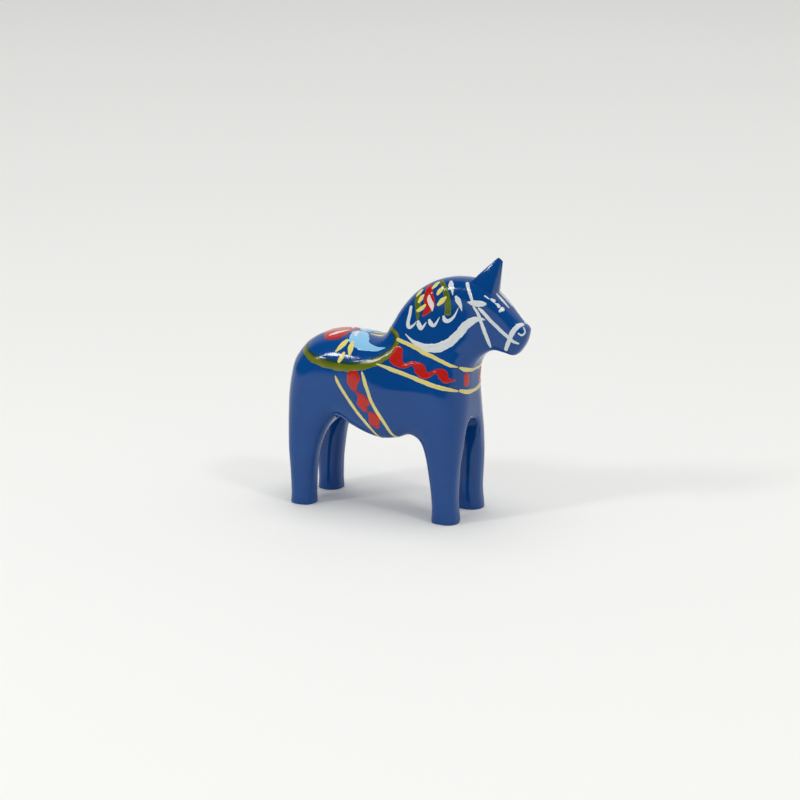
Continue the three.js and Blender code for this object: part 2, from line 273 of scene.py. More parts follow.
class Nodes:
    """Small helper that adds and links shader nodes."""

    def __init__(self, tree: bpy.types.NodeTree) -> None:
        """Keep the tree that nodes are added to."""
        self.tree = tree

    def add(self, kind: str, **settings: object) -> bpy.types.Node:
        """Add a node and set its properties.

        Args:
            kind: the node's type name without the ShaderNode prefix.
            settings: properties by name.

        Returns:
            The new node.
        """
        node = self.tree.nodes.new("ShaderNode" + kind)
        for name, value in settings.items():
            setattr(node, name, value)
        return node

    def link(self, source: bpy.types.NodeSocket, target: bpy.types.NodeSocket) -> None:
        """Join two sockets."""
        self.tree.links.new(source, target)

    def math(self, operation: str, a: object, b: object = 0.0) -> bpy.types.NodeSocket:
        """Add a Math node.

        Args:
            operation: its operation.
            a: first number or socket.
            b: second number or socket.

        Returns:
            Its output socket.
        """
        node = self.add("Math", operation=operation)
        for socket, value in zip(node.inputs, (a, b)):
            if isinstance(value, bpy.types.NodeSocket):
                self.link(value, socket)
            else:
                socket.default_value = value
        return node.outputs[0]

    def span(self, value: bpy.types.NodeSocket, low: float, high: float, to_low: float = 0.0,
             to_high: float = 1.0) -> bpy.types.NodeSocket:
        """Map a value from one range to another, held inside it.

        Args:
            value: the socket to map.
            low: start of the first range.
            high: end of the first range.
            to_low: start of the second range.
            to_high: end of the second range.

        Returns:
            The mapped socket.
        """
        node = self.add("MapRange", interpolation_type="SMOOTHSTEP")
        self.link(value, node.inputs["Value"])
        for name, number in (("From Min", low), ("From Max", high), ("To Min", to_low),
            ("To Max", to_high)):
            node.inputs[name].default_value = number
        return node.outputs["Result"]

    def blend(self, amount: bpy.types.NodeSocket, a: object, b: object) -> bpy.types.NodeSocket:
        """Mix two colours by an amount.

        Args:
            amount: socket from 0 to 1.
            a: colour or socket at 0.
            b: colour or socket at 1.

        Returns:
            The mixed colour.
        """
        node = self.add("Mix", data_type="RGBA")
        self.link(amount, node.inputs[0])
        for socket, value in ((node.inputs[6], a), (node.inputs[7], b)):
            if isinstance(value, bpy.types.NodeSocket):
                self.link(value, socket)
            else:
                socket.default_value = (*value, 1.0)
        return node.outputs[2]


def effect_group(name: str, inputs: dict[str, tuple[str, float | None]],
                 outputs: dict[str, str]) -> bpy.types.NodeTree:
    """Start a shader node group with named sockets.

    Args:
        name: the group's name.
        inputs: socket kind and default for each input.
        outputs: socket kind for each output.

    Returns:
        The new node tree.
    """
    tree = bpy.data.node_groups.new(name, "ShaderNodeTree")
    for label, (kind, default) in inputs.items():
        socket = tree.interface.new_socket(label, in_out="INPUT", socket_type="NodeSocket" + kind)
        if default is not None:
            socket.default_value = default
    for label, kind in outputs.items():
        tree.interface.new_socket(label, in_out="OUTPUT", socket_type="NodeSocket" + kind)
    tree.nodes.new("NodeGroupInput")
    tree.nodes.new("NodeGroupOutput")
    return tree


def bristle_group() -> bpy.types.NodeTree:
    """Long streaks that a brush leaves in paint.

    Returns:
        Group with Streak, Pool and Height outputs.
    """
    tree = effect_group("bristle_marks",
                        {"Vector": ("Vector", None), "Fineness": ("Float", 26.0), "Patch": ("Float", 3.0)},
                        {"Streak": "Float", "Pool": "Float", "Height": "Float"})
    n = Nodes(tree)
    src, out = tree.nodes["Group Input"], tree.nodes["Group Output"]
    stretch = n.add("Mapping")
    stretch.inputs["Scale"].default_value = (0.06, 1.0, 1.0)
    n.link(src.outputs["Vector"], stretch.inputs["Vector"])
    fine = n.add("TexNoise")
    fine.inputs["Detail"].default_value = 3.0
    fine.inputs["Roughness"].default_value = 0.6
    n.link(stretch.outputs["Vector"], fine.inputs["Vector"])
    n.link(src.outputs["Fineness"], fine.inputs["Scale"])
    patch = n.add("TexNoise")
    patch.inputs["Detail"].default_value = 2.0
    n.link(src.outputs["Vector"], patch.inputs["Vector"])
    n.link(src.outputs["Patch"], patch.inputs["Scale"])
    n.link(n.span(fine.outputs["Fac"], 0.34, 0.68), out.inputs["Streak"])
    n.link(n.span(patch.outputs["Fac"], 0.35, 0.65), out.inputs["Pool"])
    relief = n.math("ADD", fine.outputs["Fac"], n.math("MULTIPLY", patch.outputs["Fac"], 0.5))
    n.link(relief, out.inputs["Height"])
    return tree


def varnish_group() -> bpy.types.NodeTree:
    """Unevenness of brushed gloss varnish: slow flow, fine dust and a varying shine.

    Returns:
        Group with Height and Shine outputs.
    """
    tree = effect_group("varnish_flow", {"Vector": ("Vector", None), "Scale": ("Float", 180.0)},
                        {"Height": "Float", "Shine": "Float"})
    n = Nodes(tree)
    src, out = tree.nodes["Group Input"], tree.nodes["Group Output"]
    slow = n.add("TexNoise")
    slow.inputs["Detail"].default_value = 1.5
    n.link(src.outputs["Vector"], slow.inputs["Vector"])
    n.link(src.outputs["Scale"], slow.inputs["Scale"])
    fine = n.add("TexNoise")
    fine.inputs["Detail"].default_value = 4.0
    n.link(src.outputs["Vector"], fine.inputs["Vector"])
    n.link(n.math("MULTIPLY", src.outputs["Scale"], 9.0), fine.inputs["Scale"])
    relief = n.math("ADD", slow.outputs["Fac"], n.math("MULTIPLY", fine.outputs["Fac"], 0.05))
    n.link(relief, out.inputs["Height"])
    n.link(n.span(fine.outputs["Fac"], 0.35, 0.7), out.inputs["Shine"])
    return tree


class Kit:
    """The node groups that the finishes share, each built once."""

    def __init__(self) -> None:
        """Build the groups."""
        self.bristles = bristle_group()
        self.varnish = varnish_group()


def use_group(n: Nodes, tree: bpy.types.NodeTree, vector: bpy.types.NodeSocket,
              **values: float) -> bpy.types.Node:
    """Place a shared group in a material.

    Args:
        n: the material's nodes.
        tree: the group.
        vector: the coordinates it reads.
        values: its other inputs, by name.

    Returns:
        The group node.
    """
    node = n.add("Group", node_tree=tree)
    n.link(vector, node.inputs["Vector"])
    for name, value in values.items():
        node.inputs[name].default_value = value
    return node


def new_material(name: str) -> tuple[bpy.types.Material, Nodes, bpy.types.Node]:
    """Start a node material.

    Args:
        name: its name.

    Returns:
        The material, its nodes and its Principled shader.
    """
    material = bpy.data.materials.new(name)
    material.use_nodes = True
    return material, Nodes(material.node_tree), material.node_tree.nodes["Principled BSDF"]


def add_bump(n: Nodes, shader: bpy.types.Node, height: bpy.types.NodeSocket, strength: float,
             distance: float) -> None:
    """Roughen a shader's surface.

    Args:
        n: the material's nodes.
        shader: its Principled shader.
        height: the relief.
        strength: how strongly it shows.
        distance: its depth in metres.
    """
    bump = n.add("Bump")
    bump.inputs["Strength"].default_value = strength
    bump.inputs["Distance"].default_value = distance
    n.link(height, bump.inputs["Height"])
    n.link(bump.outputs["Normal"], shader.inputs["Normal"])


@dataclass(frozen=True)
class GroundPaint:
    """The deep blue ground coat over the whole horse, under gloss varnish."""

    deep: tuple[float, float, float] = (0.0008, 0.0550, 0.240)
    pale: tuple[float, float, float] = (0.0016, 0.0620, 0.262)

    def build(self, kit: Kit) -> bpy.types.Material:
        """Make the material.

        Args:
            kit: shared node groups.

        Returns:
            The blue paint.
        """
        material, n, shader = new_material("ground_blue")
        place = n.add("TexCoord").outputs["Object"]
        flow = use_group(n, kit.varnish, place, Scale=150.0)
        streak = n.add("TexNoise")
        streak.inputs["Scale"].default_value = 75.0
        streak.inputs["Detail"].default_value = 3.0
        n.link(place, streak.inputs["Vector"])
        tone = n.blend(n.span(streak.outputs["Fac"], 0.36, 0.74), self.deep, self.pale)
        n.link(tone, shader.inputs["Base Color"])
        n.link(n.span(flow.outputs["Shine"], 0, 1, 0.07, 0.16), shader.inputs["Roughness"])
        add_bump(n, shader, flow.outputs["Height"], 0.10, 0.0004)
        shader.inputs["IOR"].default_value = 1.44
        return material


@dataclass(frozen=True)
class BrushPaint:
    """A decoration colour laid on with one stroke of a round brush."""

    name: str
    slot: str
    body: tuple[float, float, float]
    thin: tuple[float, float, float]
    edge: tuple[float, float, float]
    streaks: float = 0.5
    fineness: float = 34.0
    patch: float = 4.0
    relief: tuple[float, float] = (0.35, 0.00006)

    def build(self, kit: Kit) -> bpy.types.Material:
        """Make the material.

        Args:
            kit: shared node groups.

        Returns:
            The brushed paint.
        """
        material, n, shader = new_material(self.name)
        brush = n.add("UVMap", uv_map="brush").outputs["UV"]
        hairs = use_group(n, kit.bristles, brush, Fineness=self.fineness, Patch=self.patch).outputs
        place = n.add("SeparateXYZ")
        n.link(n.add("UVMap", uv_map="span").outputs["UV"], place.inputs[0])
        n.link(self._colour(n, hairs, place.outputs["Y"]), shader.inputs["Base Color"])
        n.link(n.span(hairs["Streak"], 0, 1, 0.09, 0.18), shader.inputs["Roughness"])
        add_bump(n, shader, hairs["Height"], *self.relief)
        return material

    def _colour(self, n: Nodes, hairs: bpy.types.NodeOutputs,
                across: bpy.types.NodeSocket) -> bpy.types.NodeSocket:
        """Colour of the stroke, thin between the bristles and full at its rim.

        Args:
            n: the material's nodes.
            hairs: outputs of the bristle group.
            across: place across the stroke, from 0 to 1.

        Returns:
            The colour.
        """
        rim = n.span(n.math("ABSOLUTE", n.math("SUBTRACT", across, 0.5)), 0.34, 0.5)
        inner = n.math("SUBTRACT", 1.0, n.math("MULTIPLY", rim, 0.8))
        lean = n.math("MULTIPLY", hairs["Streak"], inner)
        streaked = n.blend(n.math("MULTIPLY", lean, self.streaks), self.body, self.thin)
        pooled = n.blend(n.math("MULTIPLY", hairs["Pool"], 0.3), streaked, self.body)
        return n.blend(n.math("MULTIPLY", rim, 0.6), pooled, self.edge)


@dataclass(frozen=True)
class BorderPaint(BrushPaint):
    """Thin green of the saddle's border: olive at its outer rim, thinning to the ground inside."""

    fineness: float = 22.0
    patch: float = 2.2
    relief: tuple[float, float] = (0.3, 0.00005)
    fade: tuple[float, float, float] = (0.0020, 0.0420, 0.1100)

    def _colour(self, n: Nodes, hairs: bpy.types.NodeOutputs,
                across: bpy.types.NodeSocket) -> bpy.types.NodeSocket:
        """Colour of the border, fading from its outer rim to its inner one.

        Args:
            n: the material's nodes.
            hairs: outputs of the bristle group.
            across: place across the border, from 0 inside to 1 outside.

        Returns:
            The colour.
        """
        frayed = n.math("ADD", across, n.math("MULTIPLY", hairs["Streak"], -0.16))
        olive = n.blend(n.math("MULTIPLY", hairs["Pool"], 0.6), self.body, self.edge)
        glaze = n.blend(n.span(frayed, 0.02, 0.26), self.fade, self.thin)
        return n.blend(n.span(frayed, 0.26, 0.60), glaze, olive)


@dataclass(frozen=True)
class BarePine:
    """Sawn pine end grain on the soles."""

    early: tuple[float, float, float] = (0.62, 0.42, 0.22)
    late: tuple[float, float, float] = (0.36, 0.19, 0.08)

    def build(self, kit: Kit) -> bpy.types.Material:
        """Make the material.

        Args:
            kit: shared node groups.

        Returns:
            The bare wood.
        """
        material, n, shader = new_material("bare_pine")
        place = n.add("TexCoord").outputs["Object"]
        rings = n.add("TexWave", wave_type="RINGS", rings_direction="Z")
        rings.inputs["Scale"].default_value = 260.0
        rings.inputs["Distortion"].default_value = 1.2
        n.link(place, rings.inputs["Vector"])
        flow = use_group(n, kit.varnish, place, Scale=600.0)
        n.link(n.blend(rings.outputs["Fac"], self.early, self.late), shader.inputs["Base Color"])
        n.link(n.span(flow.outputs["Shine"], 0, 1, 0.65, 0.85), shader.inputs["Roughness"])
        return material


class Pot(Enum):
    """The pots of paint the decorator works from."""

    WHITE = BrushPaint("white_paint", "white_paint", (0.72, 0.76, 0.76), (0.50, 0.56, 0.60),
        (0.80, 0.84, 0.84), 0.55)
    PINK_WHITE = BrushPaint("rosy_white_paint", "white_paint", (0.83, 0.72, 0.68), (0.78, 0.52, 0.45),
        (0.88, 0.80, 0.78), 0.5)
    YELLOW = BrushPaint("yellow_paint", "yellow_paint", (0.76, 0.66, 0.22), (0.50, 0.46, 0.20),
        (0.86, 0.80, 0.42), 0.6)
    LEMON = BrushPaint("lemon_paint", "yellow_paint", (0.80, 0.70, 0.20), (0.62, 0.56, 0.18),
        (0.90, 0.84, 0.45), 0.5)
    RED = BrushPaint("red_paint", "red_paint", (0.52, 0.012, 0.006), (0.34, 0.010, 0.008),
        (0.62, 0.030, 0.010), 0.45)
    LEAF = BrushPaint("leaf_green_paint", "green_paint", (0.115, 0.165, 0.008), (0.045, 0.090, 0.012),
        (0.150, 0.190, 0.010), 0.7)
    BORDER = BorderPaint("border_green_paint", "green_paint", (0.120, 0.165, 0.006), (0.010, 0.050, 0.035),
        (0.210, 0.190, 0.008), 0.6)
    SKY = BrushPaint("light_blue_paint", "light_blue_paint", (0.27, 0.57, 0.83), (0.20, 0.46, 0.72),
        (0.34, 0.64, 0.88), 0.5)


# --------------------------------------------------------------------------- pieces


WELD = 1e-6
END_DEGREES = (0.5, 12, 26, 42, 58, 74)


def deselect() -> None:
    """Leave nothing selected."""
    bpy.ops.object.select_all(action="DESELECT")


def take_up(obj: bpy.types.Object) -> None:
    """Make one object the only selected and active one."""
    deselect()
    obj.select_set(True)
    bpy.context.view_layer.objects.active = obj


def apply_modifier(obj: bpy.types.Object, kind: str, **settings: object) -> None:
    """Add a modifier and apply it at once.

    Args:
        obj: the object.
        kind: modifier type.
        settings: its properties.
    """
    take_up(obj)
    modifier = obj.modifiers.new(kind.lower(), kind)
    for name, value in settings.items():
        setattr(modifier, name, value)
    bpy.ops.object.modifier_apply(modifier=modifier.name)


def points_of(obj: bpy.types.Object) -> np.ndarray:
    """Read a mesh's vertex positions."""
    co = np.empty(len(obj.data.vertices) * 3)
    obj.data.vertices.foreach_get("co", co)
    return co.reshape(-1, 3)


def set_points(obj: bpy.types.Object, co: np.ndarray) -> None:
    """Write a mesh's vertex positions."""
    obj.data.vertices.foreach_set("co", co.ravel())
    obj.data.update()


@dataclass(frozen=True)
class Ear:
    """One chiselled ear: a thin wedge with a flat outer face, its corners along, outward and up."""

    corners: tuple[tuple[float, float, float], ...] = (
        (23.6, 3.2, 60.5), (24.5, 2.8, 62.6), (24.6, -0.2, 60.8), (25.2, 0.2, 63.1), (26.9, 1.95, 65.1),
        (29.5, 1.55, 66.8), (31.6, 1.15, 67.7), (31.1, 0.4, 69.2), (32.1, 0.75, 68.2),
        (32.1, 0.35, 68.2), (31.0, 1.8, 60.9), (31.3, 0.4, 60.9), (30.4, 3.0, 59.4), (31.2, -0.2, 59.4),
        (28.6, 3.6, 59.4),
    )
    pared: float = 0.14

    def build(self, placing: Placing, side: int) -> bpy.types.Object:
        """Shape one ear.

        Args:
            placing: turns drawing millimetres into the frame.
            side: 1 for right, -1 for left.

        Returns:
            The ear, its foot sunk in the head.
        """
        deselect()
        bpy.ops.mesh.primitive_circle_add(vertices=len(self.corners))
        ear = bpy.context.active_object
        set_points(ear, placing.to_frame(np.array([(x, -y * side, z) for x, y, z in self.corners], float)))
        bpy.ops.object.mode_set(mode="EDIT")
        bpy.ops.mesh.select_all(action="SELECT")
        bpy.ops.mesh.convex_hull()
        bpy.ops.mesh.normals_make_consistent(inside=False)
        bpy.ops.object.mode_set(mode="OBJECT")
        apply_modifier(ear, "BEVEL", width=self.pared * MM, segments=3, limit_method="ANGLE")
        return ear


@dataclass
class CarvedHorse:
    """The one block of pine, whittled, painted blue and varnished."""

    form: WhittledForm
    placing: Placing
    voxel: float = 0.40
    crest_rear: tuple[float, float, float] = (22.8, 0, 63.6)
    crest_front: tuple[float, float, float] = (33.0, 0, 58.9)
    sole_line: float = 0.05
    crease_degrees: float = 42.0
    ear: Ear = Ear()

    def build(self, kit: Kit) -> bpy.types.Object:
        """Model the wood from a copy of its frame node and paint it.

        Args:
            kit: shared node groups.

        Returns:
            The finished body.
        """
        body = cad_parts["carved_horse"].copy()
        body.data = body.data.copy()
        body.name = body.data.name = "painted_body"
        bpy.context.scene.collection.objects.link(body)
        body.modifiers.clear()
        take_up(body)
        bpy.ops.object.mode_set(mode="EDIT")
        bpy.ops.mesh.select_all(action="SELECT")
        bpy.ops.mesh.remove_doubles(threshold=WELD)
        self._clear_crest()
        bpy.ops.object.mode_set(mode="OBJECT")
        apply_modifier(body, "REMESH", mode="VOXEL", voxel_size=self.voxel * MM, adaptivity=0.0)
        set_points(body, self.placing.to_frame(self.form.drop(self.placing.to_drawing(points_of(body)), 6)))
        ears = [self.ear.build(self.placing, side) for side in (1, -1)]
        take_up(body)
        for ear in ears:
            ear.select_set(True)
        bpy.ops.object.join()
        self._paint(body, kit)
        return body

    def _clear_crest(self) -> None:
        """Slice the frame's plain ears off the copy along a plane under their feet."""
        rear, front = (self.placing.to_frame(np.array(c, float)) for c in (self.crest_rear, self.crest_front))
        run = (front - rear) / np.linalg.norm(front - rear)
        bpy.ops.mesh.select_all(action="SELECT")
        bpy.ops.mesh.bisect(
            plane_co=rear, plane_no=(-run[2], 0, run[0]), use_fill=True, clear_outer=True, threshold=WELD
        )

    def _paint(self, body: bpy.types.Object, kit: Kit) -> None:
        """Give the body its finishes and its smooth shading.

        Args:
            body: the whittled mesh.
            kit: shared node groups.
        """
        body.data.materials.clear()
        body.data.materials.append(GroundPaint().build(kit))
        body.data.materials.append(BarePine().build(kit))
        faces = body.data.polygons
        height = np.empty(len(faces) * 3)
        faces.foreach_get("center", height)
        normal = np.empty(len(faces) * 3)
        faces.foreach_get("normal", normal)
        sole = (height[2::3] < self.sole_line * MM) & (normal[2::3] < -0.9)
        faces.foreach_set("material_index", sole.astype(np.int32))
        take_up(body)
        bpy.ops.object.shade_smooth_by_angle(angle=math.radians(self.crease_degrees))
        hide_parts("carved_horse")
        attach(body, "root")


@dataclass(frozen=True)
class Stroke:
    """One touch of the brush: its path on the right flank and the paint it carries."""

    pot: Pot
    path: tuple[Row, ...]
    layer: int = 0
    closed: bool = False
    blunt: float = 1.0
    feather: bool = False


@dataclass
class Brush:
    """Lays strokes on the wood as thin domed films of paint. Lengths are millimetres."""

    form: WhittledForm
    placing: Placing
    pitch: float = 0.28
    columns: int = 12
    curve_steps: int = 24
    least_width: float = 0.05
    film: float = 0.085
    thin_share: float = 0.75
    full_width: float = 0.6
    layer_step: float = 0.035
    sink: float = 0.05
    wall: float = 0.14
    edge_power: int = 6
    feathered: tuple[float, float] = (-1.1, 0.5)
    run_out: float = 0.35
    ridge: float = 0.012
    ridge_rate: float = 9.0
    drift: float = 0.5
    drift_rate: float = 1.3
    fray: float = 0.05
    wobbles: tuple[tuple[float, float], ...] = ((1.0, 1.7), (0.6, 3.9), (0.35, 8.1))
    turn: float = 6.28
    hair_scale: float = 0.1
    crease_degrees: float = 50.0
    seed: int = 100
    laid: int = 0

    def lay(self, name: str, stroke: Stroke, side: int, material: bpy.types.Material) -> bpy.types.Object:
        """Lay one stroke.

        Args:
            name: the piece's name.
            stroke: its path and paint.
            side: 1 for the right flank, -1 for its mirror on the left.
            material: the built paint.

        Returns:
            The film of paint.
        """
        self.laid += 1
        rows = np.array([(x, y * side, z, r) for x, y, z, r in stroke.path], float)
        spots, radius = self._spaced(rows, stroke.closed)
        spots = self.form.drop(spots)
        normal = self.form.outward(spots)
        ahead = self._tangent(spots, normal, stroke.closed)
        beside = np.cross(normal, ahead)
        length = np.concatenate([[0.0], np.cumsum(np.linalg.norm(np.diff(spots, axis=0), axis=1))])
        if not stroke.closed:
            spots, radius, ahead, beside, length = self._round_ends(
                spots, radius, ahead, beside, length, stroke.blunt)
        rng = np.random.default_rng(self.seed + self.laid)
        film = self._sheet(name, len(spots))
        flat = points_of(film)
        i = np.rint((flat[:, 0] + 1) / 2 * (len(spots) - 1)).astype(int)
        v = flat[:, 1]
        left, right = self._frayed(length, rng)
        width = radius[i] * (1 + self.fray * np.where(v < 0, left[i], right[i]))
        wood = self.form.drop(spots[i] + beside[i] * (v * width)[:, None], 4)
        out = self.form.outward(wood)
        height = self._relief(stroke, i, v, length, radius, rng)
        set_points(film, self.placing.to_frame(wood + out * height[:, None]))
        self._map(film, i, v, length, radius, rng)
        if stroke.closed:
            take_up(film)
            bpy.ops.object.mode_set(mode="EDIT")
            bpy.ops.mesh.select_all(action="SELECT")
            bpy.ops.mesh.remove_doubles(threshold=WELD)
            bpy.ops.object.mode_set(mode="OBJECT")
        apply_modifier(film, "SOLIDIFY", thickness=self.wall * MM, offset=-1.0)
        take_up(film)
        bpy.ops.object.shade_smooth_by_angle(angle=math.radians(self.crease_degrees))
        film.data.materials.append(material)
        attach(film, "root")
        return film

    def _sheet(self, name: str, rows: int) -> bpy.types.Object:
        """Add a flat grid, -1 to 1 both ways, to be shaped into a stroke.

        Args:
            name: the piece's name.
            rows: how many rows of points it has along the stroke.

        Returns:
            The grid.
        """
        deselect()
        bpy.ops.mesh.primitive_grid_add(x_subdivisions=rows - 1, y_subdivisions=self.columns, size=2)
        film = bpy.context.active_object
        film.name = film.data.name = name
        return film

    def _relief(self, stroke: Stroke, i: np.ndarray, v: np.ndarray, length: np.ndarray,
                radius: np.ndarray, rng: np.random.Generator) -> np.ndarray:
        """Height of the paint over the wood: ridged and domed, and sunk at the rim.

        Args:
            stroke: its path and paint.
            i: row of each vertex along the stroke.
            v: place of each vertex across it, -1 to 1.
            length: distance run at each row.
            radius: half width at each row.
            rng: source of the ridges' place.

        Returns:
            One height a vertex.
        """
        full = np.minimum(radius[i] / self.full_width, 1.0)
        top = self.film * (self.thin_share + (1 - self.thin_share) * full) + self.layer_step * stroke.layer
        drift = self.drift * np.sin(length[i] * self.drift_rate)
        ridge = self.ridge * np.sin(v * self.ridge_rate + drift + rng.uniform(0, 6))
        end = np.minimum(np.minimum(length[i] - length[0], length[-1] - length[i]) / self.run_out, 1.0)
        end = np.ones_like(end) if stroke.closed else np.sqrt(np.maximum(end, 0))
        dome = np.sqrt(np.maximum(1 - v**self.edge_power, 0)) * end
        if stroke.feather:
            dome *= ease(v, *self.feathered)
        return (top + ridge) * dome - self.sink * (1 - dome)

    def _spaced(self, rows: np.ndarray, closed: bool) -> tuple[np.ndarray, np.ndarray]:
        """Even steps along a smooth curve through the brush positions.

        Args:
            rows: x, y, z and half width of each position.
            closed: whether the last joins the first.

        Returns:
            Points and their half widths.
        """
        n = len(rows)
        if closed:
            ext = np.vstack([rows[-1:], rows, rows[:2]])
        else:
            ext = np.vstack([2 * rows[:1] - rows[1:2], rows, 2 * rows[-1:] - rows[-2:-1]])
        out = []
        for k in range(n if closed else n - 1):
            p0, p1, p2, p3 = ext[k:k + 4]
            t = np.linspace(0, 1, self.curve_steps, endpoint=False)[:, None]
            out.append(0.5 * (2 * p1 + (p2 - p0) * t + (2 * p0 - 5 * p1 + 4 * p2 - p3) * t**2
                              + (3 * p1 - p0 - 3 * p2 + p3) * t**3))
        fine = np.vstack(out + [rows[:1] if closed else rows[-1:]])
        run = np.concatenate([[0], np.cumsum(np.linalg.norm(np.diff(fine[:, :3], axis=0), axis=1))])
        steps = max(int(run[-1] / self.pitch), 6)
        even = np.linspace(0, run[-1], steps + 1)
        table = np.stack([np.interp(even, run, fine[:, k]) for k in range(4)], -1)
        return table[:, :3], np.maximum(table[:, 3], self.least_width)

    @staticmethod
    def _tangent(spots: np.ndarray, normal: np.ndarray, closed: bool) -> np.ndarray:
        """Unit directions along the stroke, square to the surface.

        Args:
            spots: points along the stroke.
            normal: surface normals there.
            closed: whether the stroke is a ring.

        Returns:
            One direction a point.
        """
        if closed:
            ring = spots[:-1]
            step = np.roll(ring, -1, axis=0) - np.roll(ring, 1, axis=0)
            step = np.vstack([step, step[:1]])
        else:
            step = np.gradient(spots, axis=0)
        step -= normal * (step * normal).sum(1, keepdims=True)
        return step / np.maximum(np.linalg.norm(step, axis=1, keepdims=True), 1e-9)

    @staticmethod
    def _round_ends(spots: np.ndarray, radius: np.ndarray, ahead: np.ndarray, beside: np.ndarray,
                    length: np.ndarray, blunt: float) -> tuple[np.ndarray, ...]:
        """Add a rounded end to each end of a stroke.

        Args:
            spots: points along it.
            radius: half widths.
            ahead: directions along it.
            beside: directions across it.
            length: distance run at each point.
            blunt: how long the ends are, as a share of the half width.

        Returns:
            The same five arrays, longer at both ends.
        """
        angles = np.radians(END_DEGREES)
        head = [(-math.cos(a) * blunt, math.sin(a)) for a in angles]
        parts = []
        for rows, sign, end in ((head, 1, 0), (head[::-1], -1, -1)):
            reach = np.array([sign * r[0] for r in rows])[:, None] * radius[end]
            taper = radius[end] * np.array([r[1] for r in rows])
            on, over = (np.repeat(a[end][None], len(rows), 0) for a in (ahead, beside))
            parts.append((spots[end] + ahead[end] * reach, taper, on, over, length[end] + reach[:, 0]))
        joined = []
        for k, own in enumerate((spots, radius, ahead, beside, length)):
            joined.append(np.concatenate([parts[0][k], own, parts[1][k]]))
        return tuple(joined)

    def _frayed(self, length: np.ndarray, rng: np.random.Generator) -> list[np.ndarray]:
        """Unsteady edges: a wobble of mixed rates for each side of a stroke."""
        edges = []
        for _ in range(2):
            phases = rng.uniform(0, self.turn, len(self.wobbles))
            waves = [share * np.sin(length * rate + p) for (share, rate), p in zip(self.wobbles, phases)]
            edges.append(sum(waves))
        return edges

    def _map(self, film: bpy.types.Object, i: np.ndarray, v: np.ndarray, length: np.ndarray,
             radius: np.ndarray, rng: np.random.Generator) -> None:
        """Write the two UV maps that the paint reads.

        Args:
            film: the stroke's mesh.
            i: row of each vertex along the stroke.
            v: place of each vertex across it, -1 to 1.
            length: distance run at each row, in millimetres.
            radius: half width at each row.
            rng: source of a random offset.
        """
        corner = np.empty(len(film.data.loops), np.int32)
        film.data.loops.foreach_get("vertex_index", corner)
        wide = float(radius.max())
        shift = rng.uniform(0, 40, 2)
        along = (length[i] * self.hair_scale + shift[0])[corner]
        hairs = (v * wide * self.hair_scale + shift[1])[corner]
        brush = film.data.uv_layers[0]
        brush.name = "brush"
        brush.data.foreach_set("uv", np.stack([along, hairs], -1).ravel())
        span = film.data.uv_layers.new(name="span")
        total = max(length[-1] - length[0], 1e-6)
        span.data.foreach_set("uv", np.stack([((length[i] - length[0]) / total)[corner],
                                              (v * 0.5 + 0.5)[corner]], -1).ravel())


class Decoration:
    """The painted pattern, motif by motif."""

    def __init__(self, brush: Brush, kit: Kit) -> None:
        """Open the pots of paint.

        Args:
            brush: what lays the strokes.
            kit: shared node groups.
        """
        self.brush = brush
        self.paint = {pot: pot.value.build(kit) for pot in Pot}

    def one(self, name: str, stroke: Stroke, side: int = 1) -> bpy.types.Object:
        """Lay a stroke, standing for its frame node where it has one.

        Args:
            name: the piece's name.
            stroke: its path and paint.
            side: 1 for right, -1 for left.

        Returns:
            The film.
        """
        film = self.brush.lay("film_" + name, stroke, side, self.paint[stroke.pot])
        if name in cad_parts:
            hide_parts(name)
        LOG.info("%s: %d faces", film.name, len(film.data.polygons))
        return film

    def both(self, strokes: dict[str, Stroke]) -> None:
        """Lay each stroke on the right flank and its mirror on the left."""
        for name, stroke in strokes.items():
            for side, word in ((1, "right"), (-1, "left")):
                self.one(f"{name}_{word}", stroke, side)

    def cluster(self, name: str, strokes: tuple[Stroke, ...]) -> None:
        """Lay a group of small strokes as one piece on each side.

        Args:
            name: the group's name.
            strokes: its strokes.
        """
        for side, word in ((1, "right"), (-1, "left")):
            films = [self.brush.lay(f"{name}_{word}_{k}", stroke, side, self.paint[stroke.pot])
                     for k, stroke in enumerate(strokes)]
            take_up(films[0])
            for film in films[1:]:
                film.select_set(True)
            bpy.ops.object.join()
            films[0].name = films[0].data.name = f"film_{name}_{word}"
            LOG.info("%s: %d strokes", films[0].name, len(strokes))


def mirrored(rows: tuple[Row, ...]) -> tuple[Row, ...]:
    """Carry a path over the mirror plane and back down the other side.

    Args:
        rows: the right half, its last position on or near the plane.

    Returns:
        The whole path.
    """
    back = rows[:-1] if rows[-1][1] == 0 else rows
    return rows + tuple((x, -y, z, r) for x, y, z, r in reversed(back))


